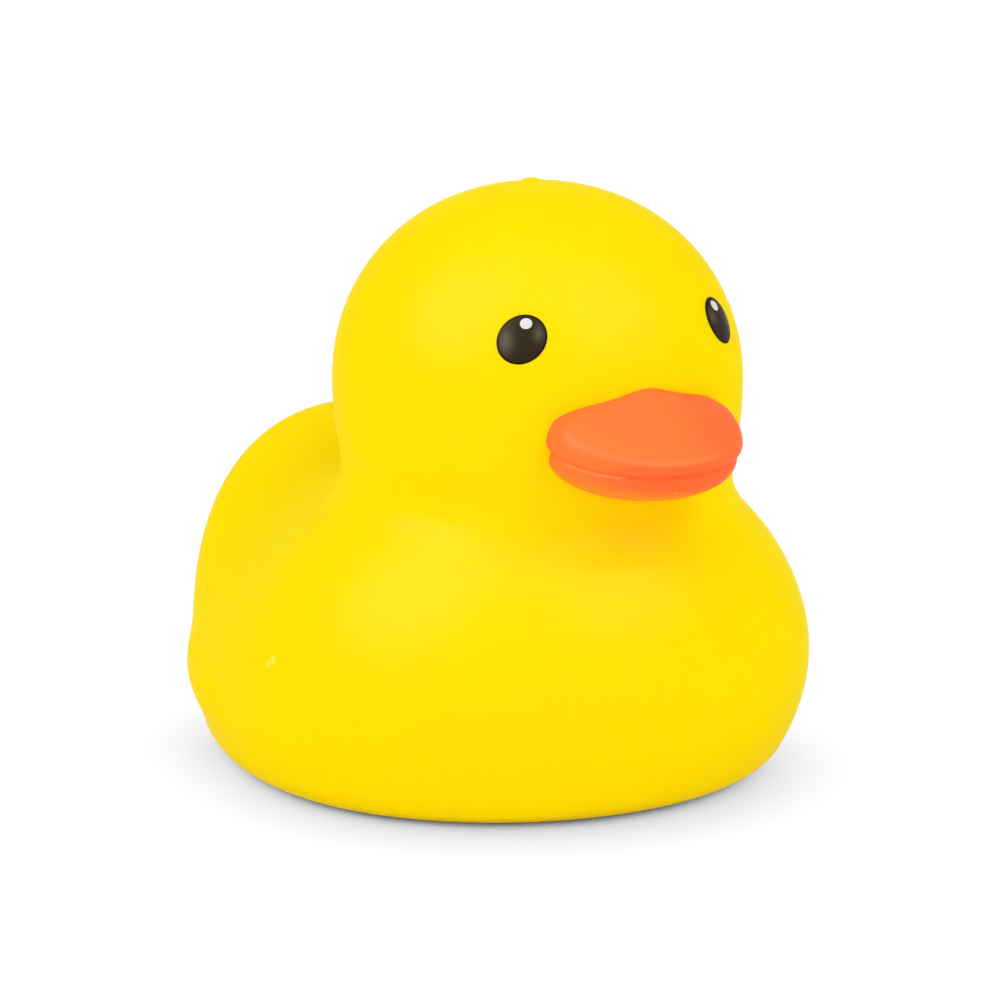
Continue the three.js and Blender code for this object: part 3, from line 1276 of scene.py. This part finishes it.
@dataclass(frozen=True)
class Studio:
    """The white floor, the soft lamps and the camera, with angles in degrees and lengths in mm."""

    azimuth: float = -30.7
    elevation: float = 11.72
    distance: float = 556.8
    aim_right: float = -2.66
    aim_height: float = 36.72
    lens: float = 100.0
    sensor: float = 24.0
    sight: float = 100000.0
    floor_half: float = 4000.0
    floor_drop: float = 0.1
    floor_white: float = 0.96
    shade_reach: float = 14.0
    shade_open: float = 0.8
    shade_power: float = 0.3
    shade_samples: int = 8
    sky: float = 0.68
    lamps: tuple[Lamp, ...] = (
        Lamp("left_lamp", (-0.68, 0.58, 0.445), 900.0, 0.45, 2.05, mirrored=False),
        Lamp("right_lamp", (0.57, 0.67, 0.48), 900.0, 0.45, 1.7, mirrored=False),
        Lamp("front_lamp", (0.15, -0.02, 0.99), 1200.0, 0.4, 2.0, mirrored=False),
        Lamp("back_lamp", (0.0, 0.35, -0.94), 900.0, 0.3, 1.2, mirrored=False),
        Lamp("left_card", (-0.68, 0.58, 0.445), 900.0, 0.7, 17.0, fills=False),
        Lamp("right_card", (0.57, 0.6, 0.56), 900.0, 0.7, 10.5, fills=False),
        Lamp("top_card", (-0.12, 0.88, 0.46), 900.0, 0.6, 4.5, fills=False),
    )

    def axes(self) -> tuple[Vector, Vector, Vector]:
        """The camera's right, up and backward directions.

        Returns:
            Three unit directions.
        """
        azimuth, elevation = np.radians(self.azimuth), np.radians(self.elevation)
        back = Vector((
            np.sin(azimuth) * np.cos(elevation),
            -np.cos(azimuth) * np.cos(elevation),
            np.sin(elevation),
        ))
        right = Vector((np.cos(azimuth), np.sin(azimuth), 0.0))
        return right, back.cross(right), back

    def aim(self) -> Vector:
        """The point that the camera and the lamps look at, in metres."""
        right, _, _ = self.axes()
        return (right * self.aim_right + Vector((0.0, 0.0, self.aim_height))) * METRE_PER_MM

    def build_camera(self) -> None:
        """Makes the scene's camera, at the photograph's viewing angle."""
        right, up, back = self.axes()
        data = bpy.data.cameras.new("camera")
        data.sensor_fit = "HORIZONTAL"
        data.sensor_width = self.sensor
        data.lens = self.lens
        data.clip_end = self.sight * METRE_PER_MM
        camera = bpy.data.objects.new("camera", data)
        turn = Matrix((right, up, back)).transposed().to_4x4()
        place = self.aim() + back * (self.distance * METRE_PER_MM)
        camera.matrix_world = Matrix.Translation(place) @ turn
        bpy.context.scene.collection.objects.link(camera)
        bpy.context.scene.camera = camera

    def build_lamps(self) -> None:
        """Makes the soft lamps, each facing the duck."""
        right, up, back = self.axes()
        for lamp in self.lamps:
            data = bpy.data.lights.new(lamp.name, "AREA")
            data.shape = "SQUARE"
            data.size = lamp.size
            data.energy = lamp.power
            across, above, near = lamp.direction
            way = (right * across + up * above + back * near).normalized()
            light = bpy.data.objects.new(lamp.name, data)
            light.location = self.aim() + way * (lamp.distance * METRE_PER_MM)
            light.rotation_euler = way.to_track_quat("Z", "Y").to_euler()
            light.visible_diffuse = lamp.fills
            light.visible_glossy = lamp.mirrored
            bpy.context.scene.collection.objects.link(light)

    def build_sky(self) -> None:
        """Makes the even light all round, which the camera sees as white."""
        world = bpy.data.worlds.new("studio")
        world.use_nodes = True
        bpy.context.scene.world = world
        wiring = Wiring(world.node_tree)
        background = world.node_tree.nodes["Background"]
        background.inputs["Color"].default_value = WHITE
        seen = self.seen(wiring)
        strength = wiring.add("ShaderNodeMapRange")
        strength.inputs["To Min"].default_value = self.sky
        strength.inputs["To Max"].default_value = 1.0
        wiring.link(seen, strength.inputs["Value"])
        wiring.link(strength.outputs["Result"], background.inputs["Strength"])

    def seen(self, wiring: Wiring) -> bpy.types.NodeSocket:
        """Adds the test of a ray that shows what it meets.

        Args:
            wiring: the node tree that the test goes into.

        Returns:
            A value of 1 for camera, glossy and transmission rays and 0 for others.
        """
        path = wiring.add("ShaderNodeLightPath")
        either = wiring.math(
            "MAXIMUM", path.outputs["Is Camera Ray"], path.outputs["Is Glossy Ray"])
        return wiring.math("MAXIMUM", either, path.outputs["Is Transmission Ray"])

    def build_floor(self) -> None:
        """Makes the floor, which carries the duck's soft shadow.

        Formula: a square of two by two points at the floor's height.
        """
        side = np.array([-self.floor_half, self.floor_half])
        x, y = np.meshgrid(side, side)
        points = np.stack([x, y, np.full_like(x, -self.floor_drop)], axis=-1).reshape(-1, 3)
        mesh = bpy.data.meshes.new("floor")
        mesh.from_pydata((points * METRE_PER_MM).tolist(), [], [(0, 1, 3, 2)])
        floor = bpy.data.objects.new("floor", mesh)
        bpy.context.scene.collection.objects.link(floor)
        mesh.materials.append(self.floor_material())

    def floor_material(self) -> bpy.types.Material:
        """Builds the floor's finish: matt white, seen as white that greys in the duck's shade.

        Formula: the seen white is (openness / shade_open) ^ shade_power, at most 1, where the
        openness is the share of a small dome over the floor that the duck leaves free.

        Returns:
            The new material.
        """
        material = bpy.data.materials.new("floor")
        material.use_nodes = True
        wiring = Wiring(material.node_tree)
        material.node_tree.nodes.remove(material.node_tree.nodes["Principled BSDF"])
        output = material.node_tree.nodes["Material Output"]
        matt = wiring.add("ShaderNodeBsdfDiffuse")
        matt.inputs["Color"].default_value = (self.floor_white,) * 3 + (1.0,)
        open_sky = wiring.add("ShaderNodeAmbientOcclusion", samples=self.shade_samples)
        open_sky.inputs["Distance"].default_value = self.shade_reach * METRE_PER_MM
        share = wiring.math("DIVIDE", open_sky.outputs["AO"], self.shade_open)
        shade = wiring.math("POWER", share, self.shade_power)
        plain = wiring.add("ShaderNodeEmission")
        wiring.link(wiring.math("MINIMUM", shade, 1.0), plain.inputs["Strength"])
        mix = wiring.add("ShaderNodeMixShader")
        wiring.link(self.seen(wiring), mix.inputs[0])
        wiring.link(matt.outputs[0], mix.inputs[1])
        wiring.link(plain.outputs[0], mix.inputs[2])
        wiring.link(mix.outputs[0], output.inputs["Surface"])
        return material

    def build(self) -> None:
        """Makes floor, light and camera."""
        bpy.context.scene.view_settings.view_transform = "Standard"
        self.build_floor()
        self.build_sky()
        self.build_lamps()
        self.build_camera()


def main() -> None:
    """Builds the duck piece by piece, then its studio, and logs each piece's count of faces."""
    logging.basicConfig(level=logging.INFO, format="%(name)s %(message)s")
    uneven, speck = uneven_group(), speck_group()
    finishes = (YELLOW_RUBBER, ORANGE_PAINT, DARK_PAINT, WHITE_PAINT)
    rubber, orange, dark, white = (finish.material(uneven, speck) for finish in finishes)
    head = Head()
    skin = Skin(Body(), head)
    skin_piece = skin.build()
    skin.dress(skin_piece, rubber)
    report(skin_piece)
    bill = Bill(head)
    bill_piece = bill.build()
    bill.dress(bill_piece, orange)
    report(bill_piece)
    for side in Side:
        eye = Eye(head, side)
        eye_pieces = eye.build()
        eye.dress(eye_pieces, dark, white)
        for piece in eye_pieces:
            report(piece)
    Studio().build()


if __name__ == "__main__":
    main()
